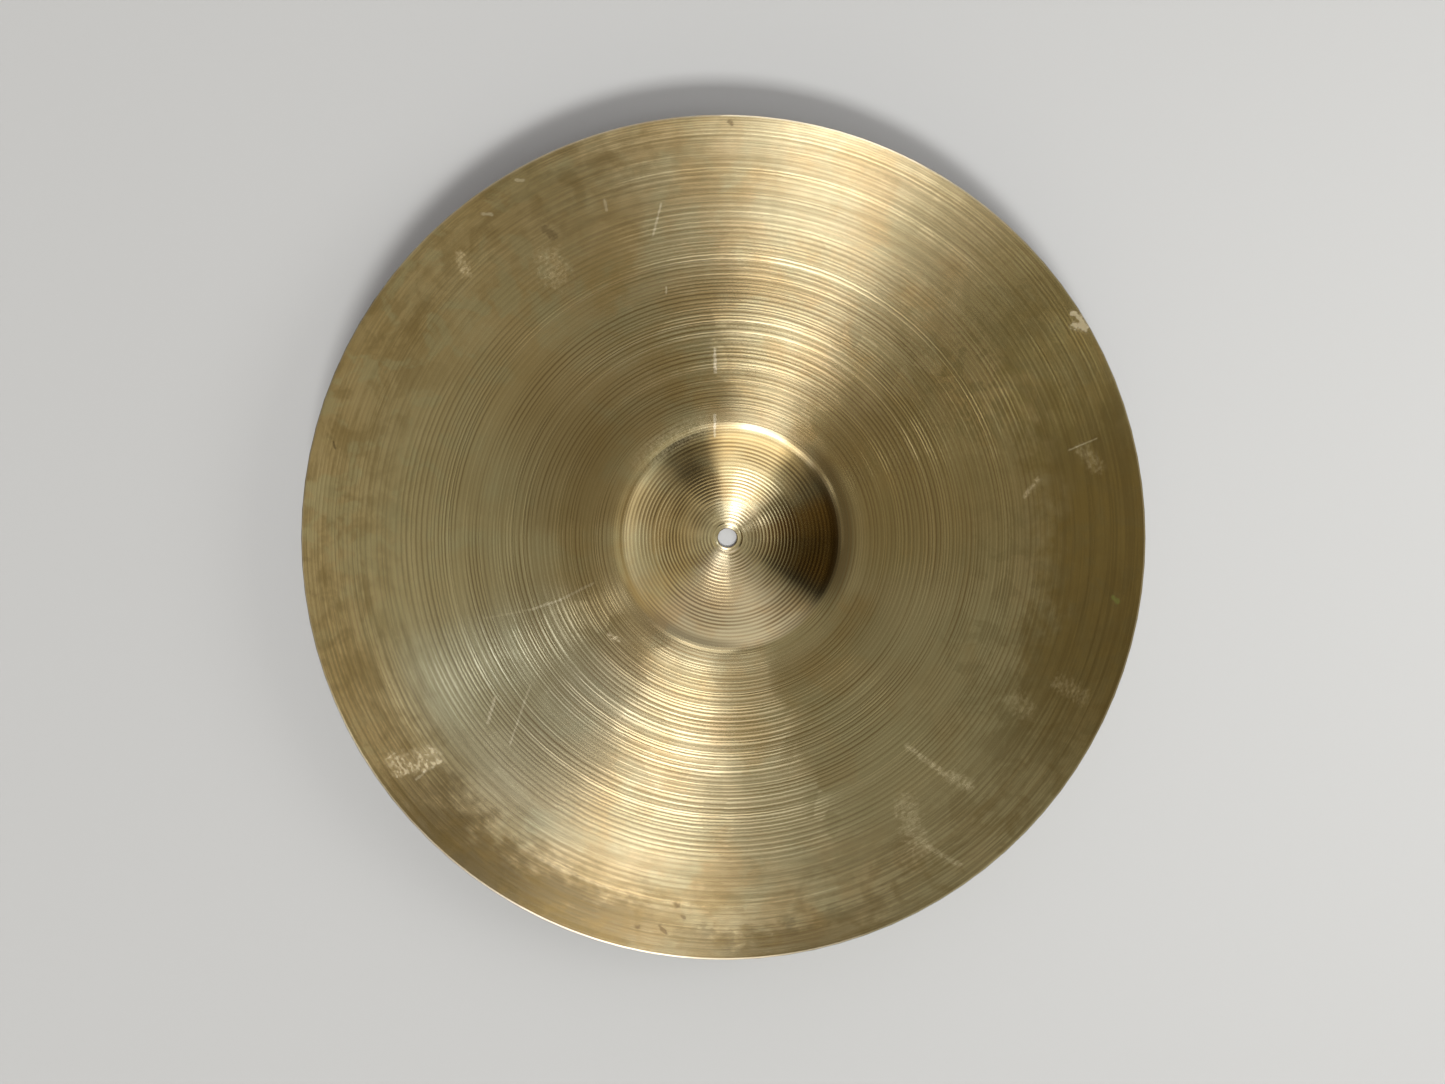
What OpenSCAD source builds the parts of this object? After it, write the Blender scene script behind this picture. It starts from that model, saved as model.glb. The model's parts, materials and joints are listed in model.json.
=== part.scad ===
// Suspended plate cymbal: one bronze plate with a domed bell, a shallow bow that steepens and
// thins towards the rim, a stand hole through the crown and turning grooves on both faces.
// It lies on the crown of its bell, with the hollow underside up. Millimetres.

/* [Plate] */
// Diameter over the rim
cymbal_d = 508; // [400:1:610]
// Thickness of the metal at the rim
rim_t = 1; // [0.6:0.05:1.6]
// How much of each face is worn away at the edge of the rim
edge_drop = 0.2; // [0:0.05:0.25]
// Width of the worn edge
edge_w = 0.8; // [0.4:0.1:1.6]

/* [Bell] */
// Diameter where the dome of the bell would meet the bow
bell_d = 136; // [100:1:170]
// Height of the bell, from its crown to the bow
bell_h = 24; // [16:0.5:32]
// Thickness of the metal at the crown
crown_t = 1.9; // [1.2:0.05:3]
// Radius of the bend between bell and bow, at the middle of the metal
shoulder_r = 14; // [4:0.5:18]

/* [Bow] */
// Rise of the bow, from the bell to the rim
bow_h = 20; // [10:0.5:30]
// Slope of the bow where it leaves the bell, in degrees
bow_start_slope = 1; // [0:0.1:2]
// How late the bow steepens: 1 is an even curve, more keeps it flat for longer
bow_power = 1.5; // [1:0.1:3]
// Thickness of the metal at the shoulder
shoulder_t = 1.6; // [1:0.05:2.6]

/* [Stand hole] */
// Diameter of the hole
hole_d = 12.2; // [9:0.1:16]
// Width of the broken edge at each mouth of the hole
hole_chamfer = 0.4; // [0.2:0.05:0.5]

/* [Turning grooves] */
// Distance between grooves on the bell
bell_pitch = 2.2; // [2:0.1:6]
// Distance between the deep grooves on the inner part of the bow
deep_pitch = 2.4; // [2:0.1:8]
// Distance between the shallow grooves on the outer part of the bow
shallow_pitch = 2.6; // [1.6:0.1:6]
// Share of the grooved part of the bow that has deep grooves
deep_share = 0.55; // [0.2:0.05:0.8]
// Depth of a groove on the bell and of a deep one on the bow; a shallow one has half of it
groove_depth = 0.08; // [0.02:0.01:0.2]
// Width of the plain band inside the shoulder
bell_plain = 2.5; // [2:0.5:16]
// Width of the plain band outside the shoulder
bow_plain = 10; // [2:0.5:30]
// Width of the plain band at the rim
rim_plain = 4.6; // [2:0.2:12]

/* [Hidden] */
$fn = 180;
bronze = "#a88d54";

hole_r = hole_d / 2;
bell_r = bell_d / 2;
rim_r = cymbal_d / 2;
edge_r = rim_t / 2 - edge_drop;

// The middle of the metal follows a dome about the cymbal's own axis, a bend the other way at
// the shoulder, and the bow, whose grade grows with a power of the distance from the shoulder.
dome_arc_r = (bell_r ^ 2 + bell_h ^ 2) / (2 * bell_h);
bow_grade = tan(bow_start_slope);

// The bend touches the dome and the line on which the bow starts.
bend_reach = dome_arc_r + shoulder_r;
bend_drop = bell_h - bow_grade * bell_r - shoulder_r / cos(bow_start_slope) - dome_arc_r;
grade_square = 1 + bow_grade ^ 2;
bend_r = (sqrt(grade_square * bend_reach ^ 2 - bend_drop ^ 2) - bow_grade * bend_drop) / grade_square;
bend_z = dome_arc_r + bend_drop + bow_grade * bend_r;

dome_end_r = dome_arc_r * bend_r / bend_reach;
dome_end_slope = asin(dome_end_r / dome_arc_r);
bow_start_r = bend_r - shoulder_r * sin(bow_start_slope);
bow_end_r = rim_r - edge_r;
bow_w = bow_end_r - bow_start_r;
bow_gain = (bow_h - bow_grade * (bow_end_r - bell_r)) * (bow_power + 1) / bow_w;

function bow_share(r) = max(0, r - bow_start_r) / bow_w;

// Slope from level and height of the middle line, at a distance from the axis
function middle_slope(r) =
    r <= dome_end_r ? asin(r / dome_arc_r)
    : r < bow_start_r ? asin((bend_r - r) / shoulder_r)
    : atan(bow_grade + bow_gain * bow_share(r) ^ bow_power);
function middle_z(r) =
    r <= dome_end_r ? dome_arc_r - dome_arc_r * cos(middle_slope(r))
    : r < bow_start_r ? bend_z + shoulder_r * cos(middle_slope(r))
    : bell_h + bow_grade * (r - bell_r)
        + bow_gain * bow_w / (bow_power + 1) * bow_share(r) ^ (bow_power + 1);

// The metal thins from the crown to the shoulder, and again to the rim.
function metal_t(r) = lookup(r, [[hole_r, crown_t], [bell_r, shoulder_t], [bow_end_r, rim_t]]);

// Stations [distance from the axis, depth of cut] of one zone, without its first. Ridges and groove
// floors take turns, and a zone ends on a ridge.
function zone(from, to, pitch, depth) =
    let (n = 2 * max(1, round((to - from) / pitch)))
    [for (i = [1 : n]) [from + (to - from) * i / n, i % 2 == 1 ? depth : 0]];

mouth_r = hole_r + hole_chamfer;
plain_pitch = 8;
shoulder_steps = 10;
deep_start_r = bow_start_r + bow_plain;
shallow_end_r = bow_end_r - rim_plain;
shallow_start_r = deep_start_r + (shallow_end_r - deep_start_r) * deep_share;

stations = concat(
    [[mouth_r, 0]],
    zone(mouth_r, dome_end_r - bell_plain, bell_pitch, groove_depth),
    zone(dome_end_r - bell_plain, dome_end_r, plain_pitch, 0),
    [
        for (i = [1 : shoulder_steps - 1])
            let (turn = dome_end_slope + (bow_start_slope - dome_end_slope) * i / shoulder_steps)
            [bend_r - shoulder_r * sin(turn), 0]
    ],
    [[bow_start_r, 0]],
    zone(bow_start_r, deep_start_r, plain_pitch, 0),
    zone(deep_start_r, shallow_start_r, deep_pitch, groove_depth),
    zone(shallow_start_r, shallow_end_r, shallow_pitch, groove_depth / 2),
    zone(shallow_end_r, bow_end_r - edge_w, plain_pitch, 0),
    [[bow_end_r, edge_drop]]
);

// A point off the middle line, on the hollow side where side is 1 and on the domed side where it is -1
function face_point(s, side) =
    let (off = side * (metal_t(s[0]) / 2 - s[1]), slope = middle_slope(s[0]))
    [s[0] - off * sin(slope), middle_z(s[0]) + off * cos(slope)];

function rim_point(turn) =
    let (a = middle_slope(bow_end_r) + turn)
    [bow_end_r + edge_r * cos(a), middle_z(bow_end_r) + edge_r * sin(a)];

// The lowest ring of the crown, which stands at height 0
crown_foot = face_point(stations[0], -1);
hollow_mouth = face_point(stations[0], 1);
rim_steps = 8;

section = [
    for (s = stations) face_point(s, -1),
    for (i = [1 : rim_steps - 1]) rim_point(180 * i / rim_steps - 90),
    for (i = [len(stations) - 1 : -1 : 0]) face_point(stations[i], 1),
    [hole_r, hollow_mouth[1] - hole_chamfer],
    [hole_r, crown_foot[1] + hole_chamfer]
];

module cymbal() {
    color(bronze)
        translate([0, 0, -crown_foot[1]])
            rotate_extrude()
                polygon(section);
}

cymbal();
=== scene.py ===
import json
import math
import random

import bmesh
import bpy
from mathutils import Matrix, Vector, noise


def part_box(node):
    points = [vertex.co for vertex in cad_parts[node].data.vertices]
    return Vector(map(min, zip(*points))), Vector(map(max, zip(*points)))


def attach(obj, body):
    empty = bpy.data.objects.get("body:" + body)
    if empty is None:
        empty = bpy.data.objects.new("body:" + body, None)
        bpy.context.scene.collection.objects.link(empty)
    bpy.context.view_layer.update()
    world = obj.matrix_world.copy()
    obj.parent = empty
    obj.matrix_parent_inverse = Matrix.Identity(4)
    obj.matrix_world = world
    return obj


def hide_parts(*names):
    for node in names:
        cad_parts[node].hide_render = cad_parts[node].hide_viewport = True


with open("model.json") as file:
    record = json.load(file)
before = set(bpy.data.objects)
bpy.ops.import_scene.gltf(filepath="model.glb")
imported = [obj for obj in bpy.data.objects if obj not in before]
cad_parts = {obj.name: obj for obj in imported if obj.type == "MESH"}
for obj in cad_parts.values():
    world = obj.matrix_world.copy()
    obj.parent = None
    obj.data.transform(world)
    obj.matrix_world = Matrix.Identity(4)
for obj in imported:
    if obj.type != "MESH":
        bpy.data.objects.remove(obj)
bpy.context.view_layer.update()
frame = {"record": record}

# The plate is one casting of bell bronze, rolled, pressed to a domed bell and a shallow bow, and hammered.
# It lies on the crown of its bell with the hollow side up. The middle of its metal follows a dome about the
# cymbal's own axis, a bend at the shoulder, and a bow that is nearly level there and steepens to the rim.
low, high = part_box("cymbal")
rim_radius = (high[0] - low[0]) / 2
hole_radius = frame["record"]["mounts"][0]["dims"]["r_mm"] / 1000
bell_radius = 0.068
bell_rise = 0.024
shoulder_bend = 0.014
bow_rise = 0.02
bow_start_slope = math.radians(1)
bow_power = 1.5
crown_thickness = 0.0019
shoulder_thickness = 0.0016
rim_thickness = 0.001
edge_drop = 0.0002
edge_width = 0.0008
edge_round = rim_thickness / 2 - edge_drop
mouth_chamfer = 0.0004

dome_arc = (bell_radius ** 2 + bell_rise ** 2) / (2 * bell_rise)
dome_reach = dome_arc + shoulder_bend
bow_grade = math.tan(bow_start_slope)
bend_drop = bell_rise - bow_grade * bell_radius - shoulder_bend / math.cos(bow_start_slope) - dome_arc
bend_square = 1 + bow_grade ** 2
bend_radius = (
    math.sqrt(bend_square * dome_reach ** 2 - bend_drop ** 2) - bow_grade * bend_drop
) / bend_square
bend_height = dome_arc + bend_drop + bow_grade * bend_radius
dome_end = dome_arc * bend_radius / dome_reach
bow_start = bend_radius - shoulder_bend * math.sin(bow_start_slope)
bow_end = rim_radius - edge_round
bow_length = bow_end - bow_start
bow_steepening = (bow_rise - bow_grade * (bow_end - bell_radius)) * (bow_power + 1) / bow_length


def middle_line(radius):
    """Height and slope of the middle of the metal at a distance from the axis."""
    if radius <= dome_end:
        slope = math.asin(radius / dome_arc)
        return dome_arc - dome_arc * math.cos(slope), slope
    if radius < bow_start:
        slope = math.asin((bend_radius - radius) / shoulder_bend)
        return bend_height + shoulder_bend * math.cos(slope), slope
    share = (radius - bow_start) / bow_length
    height = bell_rise + bow_grade * (radius - bell_radius)
    height += bow_steepening * bow_length / (bow_power + 1) * share ** (bow_power + 1)
    return height, math.atan(bow_grade + bow_steepening * share ** bow_power)


def metal_thickness(radius):
    """The metal thins from the crown to the shoulder, and again to the rim."""
    if radius < bell_radius:
        share = (radius - hole_radius) / (bell_radius - hole_radius)
        return crown_thickness + (shoulder_thickness - crown_thickness) * share
    share = (radius - bell_radius) / (bow_end - bell_radius)
    return shoulder_thickness + (rim_thickness - shoulder_thickness) * share


def face_point(radius, side, cut):
    """A point of the section: side 1 is the hollow face, side -1 the domed face, cut a groove's depth."""
    height, slope = middle_line(radius)
    off = side * (metal_thickness(radius) / 2 - cut)
    return Vector((radius - off * math.sin(slope), 0, height + off * math.cos(slope)))


# Turning leaves shallow scallops with sharp ridges between them, deepest on the inner bow and faint at the
# shoulder and the rim, and a raised lip round the hole. The tool is held by hand, so widths and depths vary.
# Dirt lies in the scallops.
lip_width = 0.0035
bell_fading = 0.016
bell_margin = 0.001
bow_margin = 0.01
bow_deepening = 0.015
bow_fading = 0.024
rim_margin = 0.0046
deep_share = 0.55
mouth = hole_radius + mouth_chamfer
lip_end = mouth + lip_width
bell_end = dome_end - bell_margin
bell_fade = bell_end - bell_fading
deep_start = bow_start + bow_margin
deep_full = deep_start + bow_deepening
shallow_end = bow_end - rim_margin
shallow_fade = shallow_end - bow_fading
shallow_start = deep_start + (shallow_end - deep_start) * deep_share

# The lip and one scallop in section: shares of its width, of its depth and of the most dirt.
lip = ((0, 0, 0.8), (0.08, 0, 0), (0.5, 1, 0.3), (0.75, 0.7, 0.2))
bell_scallop = ((0, 0, 0), (0.25, 0.75, 0.5), (0.5, 1, 0.8), (0.75, 0.75, 0.5))
bow_scallop = ((0, 0, 0), (0.25, 0.75, 0.2), (0.5, 1, 1), (0.75, 0.75, 0.2))
swell_size = 0.012
least_gap = 0.05


def turned_zone(side, lathe, start, end, pitch, depth, shape, unevenness):
    """Section of one zone of one face, with the dirt at each point; a ridge has none."""
    points = []
    radius = start
    while radius < end:
        width = pitch * lathe.uniform(1 - unevenness, 1 + unevenness)
        swell = 1 + 1.5 * unevenness * noise.noise(Vector((radius / swell_size, side, 0.5)))
        cut = swell * lathe.uniform(1 - 2 * unevenness, 1 + unevenness)
        for along, down, dirt in shape:
            at = radius + width * along
            if at < end - pitch * least_gap:
                points.append((face_point(at, side, depth * cut * down), dirt))
        radius += width
    return points


# Zones from the hole to the rim: start, end, pitch, depth, shape and unevenness.
zones = (
    (mouth, lip_end, lip_width, 0.0004, lip, 0),
    (lip_end, bell_fade, 0.0022, 0.0001, bell_scallop, 0.1),
    (bell_fade, bell_end, 0.0022, 0.00005, bell_scallop, 0.1),
    (bell_end, bow_start, 0.0016, 0.00002, bell_scallop, 0),
    (bow_start, deep_start, 0.0024, 0.000035, bow_scallop, 0.4),
    (deep_start, deep_full, 0.0024, 0.00006, bow_scallop, 0.42),
    (deep_full, shallow_start, 0.0024, 0.00008, bow_scallop, 0.42),
    (shallow_start, shallow_fade, 0.0026, 0.00005, bow_scallop, 0.42),
    (shallow_fade, shallow_end, 0.0024, 0.00003, bow_scallop, 0.42),
    (shallow_end, bow_end - edge_width, 0.0014, 0.00002, bow_scallop, 0.1),
)
edge_dirt = 0.1


def turned_face(side, seed):
    """Section of one face from the hole to the rim."""
    lathe = random.Random(seed)
    points = []
    for zone in zones:
        points += turned_zone(side, lathe, *zone)
    points.append((face_point(bow_end - edge_width, side, 0), 0))
    points.append((face_point(bow_end, side, edge_drop), edge_dirt))
    return points


hollow_face = turned_face(1, seed=11)
domed_face = turned_face(-1, seed=23)
rim_height, rim_slope = middle_line(bow_end)
rim_edge = []
rim_steps = 8
for step in range(1, rim_steps):
    turn = rim_slope + math.pi / 2 - math.pi * step / rim_steps
    way = Vector((math.cos(turn), 0, math.sin(turn)))
    rim_edge.append((Vector((bow_end, 0, rim_height)) + way * edge_round, edge_dirt))
foot = domed_face[0][0].z
hole_wall = [
    (Vector((hole_radius, 0, foot + mouth_chamfer)), 1),
    (Vector((hole_radius, 0, hollow_face[0][0].z - mouth_chamfer)), 1),
]
section = hollow_face + rim_edge + domed_face[::-1] + hole_wall

turn_steps = 96
merge_distance = 1e-7
plate = bmesh.new()
dirt_layer = plate.verts.layers.float.new("dirt")
corners = []
for point, dirt in section:
    corner = plate.verts.new(point - Vector((0, 0, foot)))
    corner[dirt_layer] = dirt
    corners.append(corner)
edges = [plate.edges.new(pair) for pair in zip(corners, corners[1:] + corners[:1])]
bmesh.ops.spin(
    plate,
    geom=corners + edges,
    cent=(0, 0, 0),
    axis=(0, 0, 1),
    angle=2 * math.pi,
    steps=turn_steps,
    use_merge=True,
)
bmesh.ops.remove_doubles(plate, verts=plate.verts, dist=merge_distance)
bmesh.ops.recalc_face_normals(plate, faces=plate.faces)

# The plate was hammered to its bow before it was turned. That leaves the bow a little uneven, the two faces
# together, and the bell true. Only the ridges, a ring on the lip and the start of the worn edge are sharp.
hammer_size = 0.03
hammer_depth = 0.00009
hammer_start = 0.075
hammer_fade = 0.02
for vert in plate.verts:
    out = math.hypot(vert.co.x, vert.co.y)
    share = min(1, max(0, (out - hammer_start) / hammer_fade))
    vert.co.z += share * hammer_depth * noise.noise(Vector((vert.co.x, vert.co.y, 0)) / hammer_size)
for face in plate.faces:
    face.smooth = True
for edge in plate.edges:
    edge.smooth = max(vert[dirt_layer] for vert in edge.verts) > 0
plate_mesh = bpy.data.meshes.new("turned_plate")
plate.to_mesh(plate_mesh)
plate.free()
cymbal = bpy.data.objects.new("turned_plate", plate_mesh)
bpy.context.collection.objects.link(cymbal)

# Turned bronze, dulled by age. The lathe's fine lines run round the axis and spread a light across them,
# so the shine is drawn out into wedges. Tarnish lies over it in olive and brown clouds, most at the rim.
bronze = bpy.data.materials.new("turned_bronze")
bronze.use_nodes = True
tree = bronze.node_tree
shader = tree.nodes["Principled BSDF"]


def node(kind, values=(), output=0, **settings):
    """Adds a node, sets or links its inputs by place or by name, and returns one of its outputs."""
    made = tree.nodes.new("ShaderNode" + kind)
    for name, setting in settings.items():
        setattr(made, name, setting)
    pairs = values.items() if isinstance(values, dict) else enumerate(values)
    for key, value in pairs:
        if isinstance(value, bpy.types.NodeSocket):
            tree.links.new(value, made.inputs[key])
        else:
            made.inputs[key].default_value = value
    return made.outputs[output]


def blend(share, first, second):
    """Mixes two colours."""
    return node("Mix", {0: share, 6: first, 7: second}, 2, data_type="RGBA")


def ramp(value, start, end):
    """Rises smoothly from 0 at start to 1 at end."""
    return node("MapRange", {"Value": value, 1: start, 2: end}, interpolation_type="SMOOTHSTEP")


def product(first, *others):
    """Multiplies values."""
    for other in others:
        first = node("Math", (first, other), operation="MULTIPLY")
    return first


def more(value, factor, base):
    """A value times a factor, added to a base."""
    return node("Math", (value, factor, base), operation="MULTIPLY_ADD")


def either(first, second):
    """The larger of two values."""
    return node("Math", (first, second), operation="MAXIMUM")


def sector(way, degrees, half_width, soft):
    """1 where a level direction lies about a bearing, fading out over the edges; angles in degrees."""
    turn = math.radians(degrees)
    near = node("VectorMath", (way, (math.cos(turn), math.sin(turn), 0)), 1, operation="DOT_PRODUCT")
    return ramp(near, math.cos(math.radians(half_width + soft)), math.cos(math.radians(half_width - soft)))


place = node("TexCoord", output=3)
upward = node("SeparateXYZ", (node("TexCoord", output=1),), 2)
facing = ramp(upward, -0.1, 0.1)
level_place = node("VectorMath", (place, (1, 1, 0)), operation="MULTIPLY")
radius = node("VectorMath", (level_place,), 1, operation="LENGTH")
round_way = node("VectorMath", (level_place,), operation="NORMALIZE")
face_shift = node("CombineXYZ", (0.0, 0.0, facing))
film_place = node("VectorMath", (place, face_shift), operation="ADD")


def ring_noise(turns, pitch, detail=2.0):
    """Noise drawn out round the axis: its lines lie a pitch apart and change a few times in a turn."""
    out = node("CombineXYZ", (0.0, 0.0, more(radius, 1 / pitch, product(facing, 70.0))))
    turned = node("VectorMath", {0: round_way, 3: turns}, operation="SCALE")
    where = node("VectorMath", (turned, out), operation="ADD")
    return node("TexNoise", {"Vector": where, "Scale": 1.0, "Detail": detail, "Roughness": 0.6})


def cloud(size, detail=4.0, distortion=0.0):
    """Noise in patches of about the given size, different on each face."""
    return node("TexNoise", {
        "Vector": film_place, "Scale": 1 / size, "Detail": detail, "Roughness": 0.6, "Distortion": distortion,
    })


def centred(value):
    """Noise moved to lie about 0."""
    return node("Math", (value, 0.5), operation="SUBTRACT")


clean_bronze = (0.74, 0.60, 0.33, 1)
olive_film = (0.56, 0.51, 0.28, 1)
brown_film = (0.57, 0.42, 0.185, 1)
deep_film = (0.29, 0.195, 0.06, 1)
dirt_and_shade_brown = (0.22, 0.15, 0.06, 1)
rightward = node("SeparateXYZ", (place,))
browner = ramp(more(rightward, -0.8, cloud(0.035, 6.0, 0.2)), 0.4, 0.62)
film = blend(browner, olive_film, brown_film)
film_share = node("MapRange", {"Value": cloud(0.045, 6.0), 1: 0.3, 2: 0.65, 3: 0.25, 4: 0.85})
colour = blend(film_share, clean_bronze, film)
streaks = product(ramp(ring_noise(1.1, 0.0013), 0.54, 0.66), 0.3)
colour = blend(streaks, colour, brown_film)
inner_film = product(ramp(radius, 0.165, 0.09), ramp(radius, 0.074, 0.092), 0.36)
colour = blend(inner_film, colour, deep_film)

# The colour is darker towards the rim on the right, at the top right and at the lower left, with a wandering
# inner edge. It is olive and grey on the left and at the lower right, browner on the right, and stained and
# streaked towards the rim.
right_brown = (0.32, 0.2, 0.05, 1)
left_olive = (0.66, 0.6, 0.35, 1)
left_grey = (0.6, 0.6, 0.45, 1)
highlight_ray_bronze = (0.78, 0.75, 0.52, 1)
right_rim_brown = (0.31, 0.2, 0.04, 1)
upper_rim_olive = (0.3, 0.25, 0.1, 1)
low_rim_dark = (0.22, 0.165, 0.075, 1)
blotch_olive = (0.3, 0.245, 0.11, 1)
ring_brown = (0.2, 0.135, 0.04, 1)
cloud_olive = (0.6, 0.55, 0.31, 1)
wandering_radius = more(centred(cloud(0.03, 6.0)), 0.035, radius)
wandering_radius = more(centred(ring_noise(16.0, 0.009, 6.0)), 0.05, wandering_radius)
right_rim_darkening = product(sector(round_way, 1, 30, 14), ramp(wandering_radius, 0.182, 0.216), 0.78)
low_rim_darkening = product(sector(round_way, 239, 17, 12), ramp(wandering_radius, 0.214, 0.238))
lowest_rim_darkening = product(sector(round_way, 258, 30, 14), ramp(wandering_radius, 0.232, 0.246), 0.6)
low_rim_darkening = either(low_rim_darkening, lowest_rim_darkening)
right_touch = product(sector(round_way, 25, 30, 18), ramp(radius, 0.062, 0.08), 0.5)
colour = blend(right_touch, colour, right_brown)
left_side = sector(round_way, 195, 36, 24)
low_right = sector(round_way, 312, 26, 18)
olive_touch = product(either(left_side, low_right), ramp(radius, 0.085, 0.14), ramp(radius, 0.245, 0.2), 0.5)
colour = blend(olive_touch, colour, left_olive)
grey_touch = product(sector(round_way, 217, 17, 12), ramp(radius, 0.08, 0.13), ramp(radius, 0.235, 0.2), 0.4)
colour = blend(grey_touch, colour, left_grey)
# Painted highlight: a pale radial ray at bearing 207 stands in for a faint wedge of reflected light.
painted_highlight_ray = product(sector(round_way, 207, 6, 6), ramp(radius, 0.13, 0.16), ramp(radius, 0.22, 0.195), 0.6)
colour = blend(painted_highlight_ray, colour, highlight_ray_bronze)
colour = blend(right_rim_darkening, colour, right_rim_brown)
upper_rim_darkening = product(sector(round_way, 29, 13, 9), ramp(wandering_radius, 0.188, 0.214), 0.6)
colour = blend(upper_rim_darkening, colour, upper_rim_olive)
blotched = more(sector(round_way, 344, 22, 14), 0.7, sector(round_way, 33, 12, 10))
blotches = product(ramp(cloud(0.014, 5.0, 0.6), 0.46, 0.58), ramp(radius, 0.13, 0.17), 0.45, blotched)
colour = blend(blotches, colour, blotch_olive)
colour = blend(low_rim_darkening, colour, low_rim_dark)
rim_film = product(ramp(radius, 0.17, 0.245), more(sector(round_way, 70, 25, 12), -0.75, 1.0))
rim_streaks = product(ramp(ring_noise(9.0, 0.005, 5.0), 0.5, 0.62), rim_film, 0.3)
colour = blend(rim_streaks, colour, deep_film)
fine_share = more(ramp(radius, 0.19, 0.22), 0.22, product(ramp(radius, 0.08, 0.16), 0.1))
fine_share = product(fine_share, more(sector(round_way, 150, 26, 16), -0.6, 1.0))
fine_share = more(either(right_rim_darkening, low_rim_darkening), 0.25, fine_share)
fine_rings = product(ramp(ring_noise(2.5, 0.0016), 0.44, 0.6), fine_share)
colour = blend(fine_rings, colour, ring_brown)
rim_stains = product(ramp(cloud(0.018, 6.0, 0.4), 0.47, 0.63), rim_film, 0.38)
colour = blend(rim_stains, colour, deep_film)
left_bow = product(sector(round_way, 155, 32, 18), ramp(radius, 0.15, 0.19))
pale_clouds = product(ramp(cloud(0.022, 5.0, 0.5), 0.5, 0.6), left_bow, 0.5)
colour = blend(pale_clouds, colour, cloud_olive)

# Age has dulled the bow more than the bell. Less dulling on the left paints light onto the left of the bow.
# A dark band on the shoulder, on the right and at the lower left, is partly film and partly painted shade,
# and so is a dark patch beside the hole at the lower left. Felts have rubbed the crown bright.
dull_film = (0.12, 0.095, 0.045, 1)
shoulder_film_shade_brown = (0.1, 0.065, 0.025, 1)
crown_film_shade_brown = (0.2, 0.15, 0.06, 1)
rubbed_bronze = (0.9, 0.79, 0.52, 1)
# Painted light: the dulling is lessened on the left, so the left of the bow is lighter.
left_painted_light = product(sector(round_way, 182, 46, 20), ramp(radius, 0.09, 0.24), -0.26)
dulling_and_left_light = product(ramp(radius, 0.064, 0.076), more(left_painted_light, 1.0, 0.36))
colour = blend(dulling_and_left_light, colour, dull_film)
shoulder_ring = product(ramp(radius, 0.061, 0.066), ramp(radius, 0.082, 0.073))
# Partly film, partly painted shade: a dark band on the shoulder, on the right and at the lower left.
shoulder_film_and_shade = more(sector(round_way, 248, 22, 12), 0.45, product(sector(round_way, 6, 36, 14), 0.7))
colour = blend(product(shoulder_film_and_shade, shoulder_ring), colour, shoulder_film_shade_brown)
# Partly film, partly painted shade: a dark patch beside the hole at the lower left.
crown_film_and_shade = product(sector(round_way, 240, 22, 14), ramp(radius, 0.04, 0.02), 0.6)
colour = blend(crown_film_and_shade, colour, crown_film_shade_brown)
polished = product(ramp(radius, 0.036, 0.012), 0.4)
colour = blend(polished, colour, rubbed_bronze)

# Dirt lies in the scallops in patches. Painted shade darkens the rim's edge and the wall of the hole.
# Beside its edge the rim is worn to bare metal, and the pale band there is partly a painted highlight.
bare_highlight_bronze = (0.92, 0.87, 0.7, 1)
patchy = node("MapRange", {"Value": ring_noise(1.2, 0.013, 1.0), 1: 0.4, 2: 0.6, 3: 0.15, 4: 0.8})
patchy = product(patchy, node("MapRange", {"Value": radius, 1: 0.16, 2: 0.21, 3: 1.0, 4: 0.35}))
patchy = more(product(ramp(radius, 0.068, 0.06), ramp(radius, 0.0, 0.03)), 0.35, patchy)
dirt = product(ramp(node("Attribute", output=2, attribute_name="dirt"), 0.1, 1.0), patchy)
colour = blend(dirt, colour, dirt_and_shade_brown)
# Partly bare metal, partly a painted highlight: a pale band just inside the rim's edge.
bare_edge_and_highlight = product(ramp(radius, bow_end - edge_width - 0.0002, bow_end - edge_width + 0.0002), 0.3)
colour = blend(bare_edge_and_highlight, colour, bare_highlight_bronze)
# Painted shade: a dark line along the outermost edge of the rim.
rim_edge_painted_shade = product(ramp(radius, bow_end - 0.0001, bow_end + 0.0001), 0.8)
colour = blend(rim_edge_painted_shade, colour, dirt_and_shade_brown)
# Painted shade: the wall of the hole is darkened all round.
hole_wall_painted_shade = product(ramp(radius, mouth, hole_radius), 0.8)
colour = blend(hole_wall_painted_shade, colour, dirt_and_shade_brown)

# Years of use left a chip in the film, dull scuffs, bright scratches and dark stains on the hollow face. Each
# mark is given by its two ends and half its width in mm, and its strength.
stain_brown = (0.12, 0.075, 0.03, 1)
scuff_and_sheen_pale = (0.68, 0.60, 0.40, 1)
scratch_bright = (0.9, 0.82, 0.6, 1)
spot_green = (0.33, 0.37, 0.11, 1)
ragged = centred(cloud(0.0022, 3.0))


def mark(start, end, half_width, strength):
    """The strength of a ragged mark between two places in mm, and 0 away from it."""
    first = Vector((*start, 0)) / 1000
    way = Vector((*end, 0)) / 1000 - first
    from_first = node("VectorMath", (level_place, first), operation="SUBTRACT")
    along = node("VectorMath", (from_first, way / way.length_squared), 1, operation="DOT_PRODUCT")
    nearest = node("VectorMath", {0: way, 3: node("Clamp", (along,))}, operation="SCALE")
    off = node("VectorMath", (from_first, nearest), 1, operation="DISTANCE")
    reach = half_width / 1000
    return product(ramp(more(ragged, 3.0 * reach, off), 1.5 * reach, 0.4 * reach), strength)


def marks(places):
    """The strongest of several marks on the hollow face."""
    total = 0.0
    for at in places:
        total = either(total, mark(*at))
    return product(total, facing)


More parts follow.
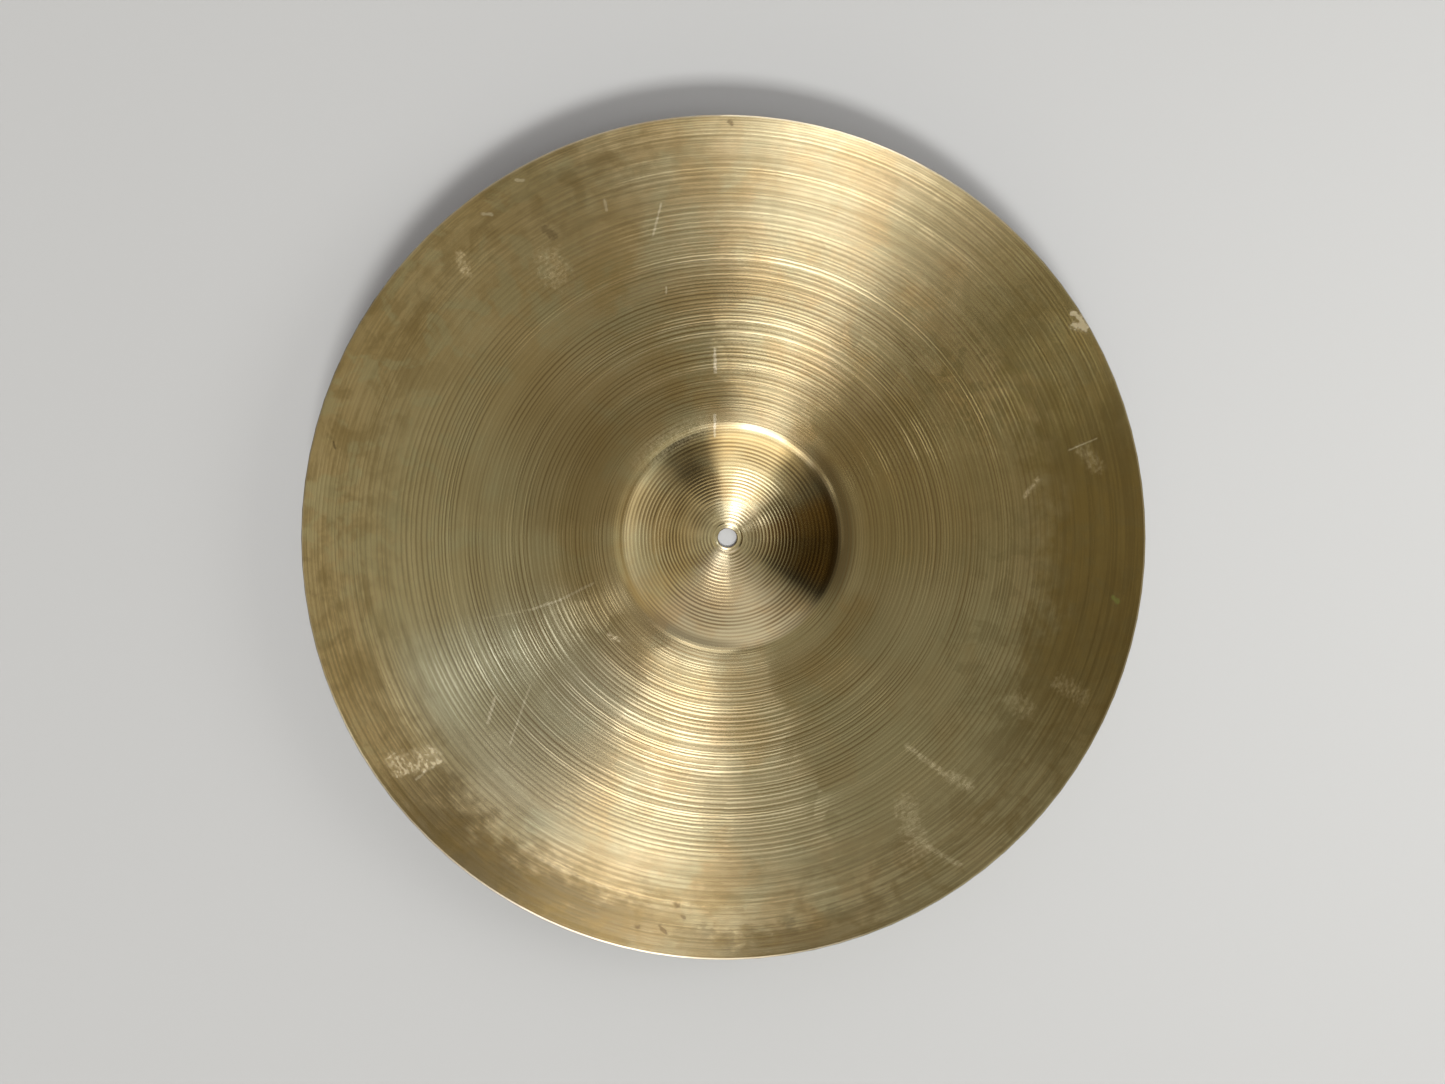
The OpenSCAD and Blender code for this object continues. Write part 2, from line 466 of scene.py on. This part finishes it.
chip = marks((
    ((209, 137), (212, 135), 1.5, 0.35),
    ((213, 134), (216, 129), 1.6, 0.35),
    ((210, 130), (216, 128), 2.2, 0.35),
))
haze = marks((
    ((-199, -135), (-180, -131), 6, 0.45),
    ((-201, -131), (-193, -136), 3.5, 0.8),
    ((-197, -139), (-184, -135), 3, 0.8),
    ((-188, -130), (-178, -128), 2.5, 0.7),
    ((-184, -138), (-174, -133), 2, 0.7),
    ((110, -129), (133, -146), 1.8, 0.4),
    ((136, -147), (147, -152), 3.5, 0.35),
    ((119, -188), (139, -199), 1.8, 0.35),
    ((108, -165), (115, -187), 7, 0.25),
    ((176, -100), (182, -107), 6, 0.2),
    ((204, -90), (215, -97), 5, 0.25),
    ((-109, 167), (-106, 160), 8, 0.25),
    ((217, 54), (226, 44), 4, 0.3),
    ((-162, 168), (-159, 159), 3, 0.4),
    ((183, 26), (191, 36), 1.5, 0.4),
    ((-74, -60), (-69, -63), 1.6, 0.6),
))
scratches = marks((
    ((-9, 116), (-9, 102), 0.8, 0.3),
    ((-9, 76), (-9, 63), 0.8, 0.5),
    ((-150, -49), (-122, -44), 0.7, 0.12),
    ((-122, -44), (-104, -38), 0.8, 0.3),
    ((-104, -38), (-84, -28), 0.7, 0.15),
    ((-143, -97), (-147, -112), 0.9, 0.5),
    ((-188, -144), (-179, -137), 0.7, 0.3),
    ((-122, -90), (-134, -126), 0.6, 0.3),
    ((-42, 203), (-47, 184), 0.6, 0.3),
    ((209, 54), (225, 61), 0.4, 0.3),
    ((-39, 154), (-39, 150), 0.5, 0.4),
    ((-148, 193), (-143, 193), 1, 0.4),
    ((-128, 213), (-124, 213), 0.8, 0.4),
    ((-76, 204), (-75, 198), 0.8, 0.3),
))
stains = marks((
    ((-112, 186), (-107, 182), 2.2, 0.4),
    ((-33, -222), (-32, -223), 1.2, 0.6),
    ((-29, -229), (-28, -230), 1, 0.6),
    ((-43, -234), (-39, -238), 1, 0.6),
    ((-57, -234), (-56, -234), 1, 0.6),
    ((-236, 57), (-235, 53), 0.6, 0.6),
    ((-1, 250), (0, 249), 1.2, 0.6),
))
rubbed = node("MapRange", {"Value": ring_noise(60.0, 0.0018), 1: 0.4, 2: 0.6, 3: 0.1, 4: 0.5})
# Painted highlight: a pale sheen on the shoulder at the upper left, mixed in with the scuffs.
shoulder_painted_sheen = product(sector(round_way, 117, 22, 14), shoulder_ring, facing, 0.27)
wear_and_sheen = either(chip, product(either(haze, shoulder_painted_sheen), rubbed))
green_spot = marks((((235, -37), (238, -39), 1.3, 0.6),))
colour = blend(stains, colour, stain_brown)
colour = blend(wear_and_sheen, colour, scuff_and_sheen_pale)
colour = blend(scratches, colour, scratch_bright)
colour = blend(green_spot, colour, spot_green)
tree.links.new(colour, shader.inputs["Base Color"])
tree.links.new(more(wear_and_sheen, -0.7, 1.0), shader.inputs["Metallic"])

# The lathe left fine lines all over the bow, and broader ones between its coarse grooves. Below them lie the
# hammer's dents and small flats, and ripples at the far side of the rim.
line_height = 0.00003
coarse_height = 0.00005
dent_height = 0.00003
ripple_height = 0.000035
flat_size = 0.014
flat_wander = 0.008
flat_tilt = 0.01
on_bow = ramp(radius, bell_radius, deep_start)
coarse = product(
    ramp(radius, deep_start - 0.004, deep_start + 0.004),
    ramp(radius, shallow_start + 0.03, shallow_start - 0.02),
)
height = product(ring_noise(1.3, 0.0012, 1.0), on_bow, line_height)
height = more(product(ring_noise(0.7, 0.0018, 0.0), coarse), coarse_height, height)
height = more(product(cloud(0.016, 1.0), on_bow), dent_height, height)
ripples = product(sector(round_way, 75, 40, 15), ramp(radius, 0.19, 0.22))
height = more(product(ring_noise(24.0, 0.02, 0.0), ripples), ripple_height, height)
relief = node("Bump", {"Strength": 1.0, "Distance": 1.0, "Height": height})
wander = node("TexNoise", {"Vector": film_place, "Scale": 90.0, "Detail": 2.0}, 1)
flat_place = node(
    "VectorMath", (wander, (flat_wander, flat_wander, 0), level_place), operation="MULTIPLY_ADD"
)
flats = node("TexVoronoi", {"Vector": flat_place, "Scale": 1 / flat_size}, 1, voronoi_dimensions="2D")
flats = node("VectorMath", (flats, (0.5, 0.5, 0.5)), operation="SUBTRACT")
flats = node("VectorMath", {0: flats, 3: product(on_bow, flat_tilt)}, operation="SCALE")
relief = node("VectorMath", (relief, flats), operation="ADD")
relief = node("VectorMath", (relief,), operation="NORMALIZE")
tree.links.new(relief, shader.inputs["Normal"])

# The lathe's lines run round the axis, so they draw a light out along the radius. The bell, the rim, the
# scuffs and the painted sheen on the shoulder are duller.
bow_roughness = 0.15
bell_dulling = 0.02
rim_dulling = 0.045
worn_dulling = 0.3
quarter_turn = 0.25
on_bell = node("MapRange", {"Value": radius, 1: 0.066, 2: 0.074, 3: 1.0, 4: 0.0})
roughness = more(on_bell, bell_dulling, bow_roughness)
roughness = more(ramp(radius, 0.16, 0.225), rim_dulling, roughness)
roughness = more(wear_and_sheen, worn_dulling, roughness)
tree.links.new(roughness, shader.inputs["Roughness"])
drawn_out = product(more(on_bell, -0.1, 1.0), more(wear_and_sheen, -0.8, 1.0))
tree.links.new(drawn_out, shader.inputs["Anisotropic"])
shader.inputs["Anisotropic Rotation"].default_value = quarter_turn
tree.links.new(node("Tangent", direction_type="RADIAL", axis="Z"), shader.inputs["Tangent"])
plate_mesh.materials.append(bronze)

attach(cymbal, "root")
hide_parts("cymbal")

# The table top is a plain board, painted pale grey. The cymbal lies on it on the crown of its bell, and its
# shadow falls on it.
table_half = 2.0
table_grey = (0.345, 0.347, 0.33, 1)
table_roughness = 0.8
floor_bm = bmesh.new()
bmesh.ops.create_grid(floor_bm, x_segments=1, y_segments=1, size=table_half)
floor_mesh = bpy.data.meshes.new("floor")
floor_bm.to_mesh(floor_mesh)
floor_bm.free()
floor = bpy.data.objects.new("floor", floor_mesh)
bpy.context.collection.objects.link(floor)
floor_paint = bpy.data.materials.new("floor_paint")
floor_paint.use_nodes = True
paint = floor_paint.node_tree.nodes["Principled BSDF"]
paint.inputs["Base Color"].default_value = table_grey
paint.inputs["Roughness"].default_value = table_roughness
floor_mesh.materials.append(floor_paint)

# Two lamps light the table and cast the cymbal's shadow: a strong one far off, towards the bottom of the
# picture, and a small one close by on the right.
lamp_tint = (1.0, 1.0, 1.03)
plate_top = Vector((0, 0, high[2]))


def aimed(obj, place_at, target):
    """Puts a lamp or the camera at a place, points it at a target and keeps +Y upwards in its picture."""
    back = (Vector(place_at) - Vector(target)).normalized()
    right = Vector((0, 1, 0)).cross(back).normalized()
    turned = Matrix((right, back.cross(right), back)).transposed().to_4x4()
    obj.matrix_world = Matrix.Translation(place_at) @ turned


def table_lamp(name, bearing, tilt, distance, length, width, power):
    """A flat lamp that lights the table; the metal mirrors the room and not this lamp."""
    lamp = bpy.data.lights.new(name, "AREA")
    lamp.shape = "RECTANGLE"
    lamp.size = length
    lamp.size_y = width
    lamp.energy = power
    lamp.color = lamp_tint
    lamp_object = bpy.data.objects.new(name, lamp)
    bpy.context.collection.objects.link(lamp_object)
    lamp_object.visible_glossy = False
    turn = math.radians(bearing)
    lean = math.radians(tilt)
    way = Vector((math.sin(lean) * math.cos(turn), math.sin(lean) * math.sin(turn), math.cos(lean)))
    aimed(lamp_object, plate_top + way * distance, plate_top)


table_lamp("key_lamp", bearing=275, tilt=41, distance=14.0, length=3.6, width=2.0, power=2280)
table_lamp("side_lamp", bearing=2, tilt=50, distance=1.2, length=0.6, width=0.6, power=5.4)

# The metal mirrors a room with a large soft box near the bottom of the picture, a smaller one at its top,
# and walls that are dark on the left and paler on the right. Angles are in degrees.
world = bpy.data.worlds.new("room")
world.use_nodes = True
bpy.context.scene.world = world
tree = world.node_tree
gaze = node("TexCoord")
parts = node("SeparateXYZ", (gaze,)).node
sideways = node("VectorMath", (gaze, (1, 1, 0)), operation="MULTIPLY")
level = node("VectorMath", (sideways,), operation="NORMALIZE")
bearing = node("Math", (parts.outputs[1], parts.outputs[0]), operation="ARCTAN2")
bearing = node("MapRange", {"Value": bearing, 1: -math.pi, 2: math.pi})
tilt = node("Math", (node("Math", (parts.outputs[2],), operation="ARCCOSINE"),), operation="DEGREES")


def light_round(stops):
    """How bright the room is in each bearing, counted from +X towards +Y."""
    made = node("ValToRGB", (bearing,)).node
    while len(made.color_ramp.elements) < len(stops):
        made.color_ramp.elements.new(0.5)
    for element, (degrees, light) in zip(made.color_ramp.elements, stops):
        element.position = degrees / 360 + 0.5
        element.color = (light, light, light, 1)
    return made.outputs[0]


side_edge = 1
end_edge = 3


def soft_box(degrees, half_width, top_tilt, low_tilt, lean):
    """1 inside a box of the room, given by its bearing, half its width and its tilts from overhead. Its
    sides run to a point that leans from the overhead one, because the camera hangs beside the axis."""
    upright = node("VectorMath", (sideways, (-lean, 0, 0)), operation="ADD")
    upright = node("VectorMath", (upright,), operation="NORMALIZE")
    return product(
        sector(upright, degrees, half_width, side_edge),
        ramp(tilt, top_tilt - end_edge, top_tilt + end_edge),
        ramp(tilt, low_tilt + end_edge, low_tilt - end_edge),
    )


# Brightness of the walls, and of their lowest part, by bearing.
walls = light_round((
    (-180, 0.055), (-157, 0.08), (-147, 0.17), (-138, 0.27), (-126, 0.35), (-117, 1.12), (-83, 1.12),
    (-72, 0.22), (-62, 0.05), (-52, 0.06), (-38, 0.28), (0, 0.34), (40, 0.57), (75, 0.74), (105, 0.86),
    (122, 0.55), (136, 0.32), (146, 0.04), (180, 0.04),
))
low_walls = light_round((
    (-180, 0.04), (-140, 0.12), (-126, 0.5), (-117, 1.95), (-85, 1.95), (-73, 0.35), (-62, 0.2), (-50, 0.25),
    (-30, 1.0), (0, 0.95), (25, 0.65), (45, 0.65), (80, 0.9), (110, 0.9), (130, 0.55), (146, 0.06),
    (180, 0.04),
))
warm_wall = (1.0, 0.92, 0.72, 1)
far_wall = (1.0, 0.96, 1.05, 1)
near_wall = (1.0, 0.93, 0.85, 1)
left_wall = (1.4, 0.85, 0.25, 1)
right_wall = (1.0, 0.87, 0.63, 1)
low_right_wall = (0.91, 0.91, 0.9, 1)
ceiling = (0.385, 0.36, 0.295, 1)
wall_tint = blend(sector(level, 88, 45, 20), warm_wall, far_wall)
wall_tint = blend(sector(level, 262, 24, 8), wall_tint, near_wall)
wall_tint = blend(sector(level, 178, 26, 8), wall_tint, left_wall)
wall_tint = blend(sector(level, 5, 30, 14), wall_tint, right_wall)
low_right = product(sector(level, 352, 40, 16), ramp(tilt, 52.0, 59.0))
wall_tint = blend(low_right, wall_tint, low_right_wall)
room = blend(ramp(tilt, 54.0, 60.0), walls, low_walls)
room = node("Mix", {0: 1.0, 6: room, 7: wall_tint}, 2, data_type="RGBA", blend_type="MULTIPLY")
room = blend(ramp(tilt, 32.0, 12.0), room, ceiling)

# Boxes, each over the ones before it: bearing, half width, top and low tilt, lean and light.
near_lean = 0.055
far_lean = 0.09
boxes = (
    (0, 24, 12, 31, near_lean, (0.62, 0.6, 0.52, 1)),
    (320, 28, 14, 28, near_lean, (0.5, 0.48, 0.42, 1)),
    (301, 15, 16, 30, near_lean, (0.75, 0.72, 0.63, 1)),
    (186, 11, 8, 17, near_lean, (0.75, 0.75, 0.7, 1)),
    (210, 13, 9, 20, near_lean, (1.0, 1.02, 1.05, 1)),
    (207.5, 4.5, 10.2, 15, near_lean, (4.2, 4.4, 5.0, 1)),
    (229, 9, 10, 34, near_lean, (1.1, 1.1, 1.2, 1)),
    (231, 8, 18, 34, near_lean, (1.9, 1.9, 2.1, 1)),
    (235, 6, 20, 36, near_lean, (3.0, 3.0, 3.2, 1)),
    (269, 8, 19, 38, near_lean, (2.2, 2.1, 2.1, 1)),
    (264.5, 22, 9.5, 24, near_lean, (1.75, 1.75, 1.9, 1)),
    (254.5, 14.5, 9.5, 28, near_lean, (2.8, 2.8, 3.2, 1)),
    (251.5, 12, 9.5, 33, near_lean, (4.8, 4.8, 5.6, 1)),
    (255.5, 6, 9.5, 30, near_lean, (6.6, 6.6, 7.7, 1)),
    (76, 28, 9, 22, far_lean, (0.4, 0.4, 0.43, 1)),
    (64.5, 7, 9, 22, far_lean, (1.1, 1.1, 1.2, 1)),
    (92, 7, 9, 22, far_lean, (3.5, 3.5, 3.85, 1)),
    (78.5, 7, 9, 21, far_lean, (5.0, 5.0, 5.8, 1)),
)
for *box, light in boxes:
    room = blend(soft_box(*box), room, light)
tree.links.new(room, tree.nodes["Background"].inputs["Color"])

# The camera hangs over the plate, a little to the left of its axis, and looks almost straight down. Its
# picture is as wide as that of a phone's main lens.
picture_width = 1445
focal_pixels = 1082
aim_shift = Vector((-0.0052, -0.0025, 0))
camera_distance = 0.65
camera_lean = math.radians(3.15)
camera_data = bpy.data.cameras.new("camera")
camera_data.sensor_width = 36
camera_data.lens = focal_pixels * camera_data.sensor_width / picture_width
camera = bpy.data.objects.new("camera", camera_data)
bpy.context.collection.objects.link(camera)
camera_way = Vector((-math.sin(camera_lean), 0, math.cos(camera_lean)))
aimed(camera, plate_top + camera_way * camera_distance, plate_top + aim_shift)
bpy.context.scene.camera = camera
bpy.context.scene.view_settings.view_transform = "Standard"
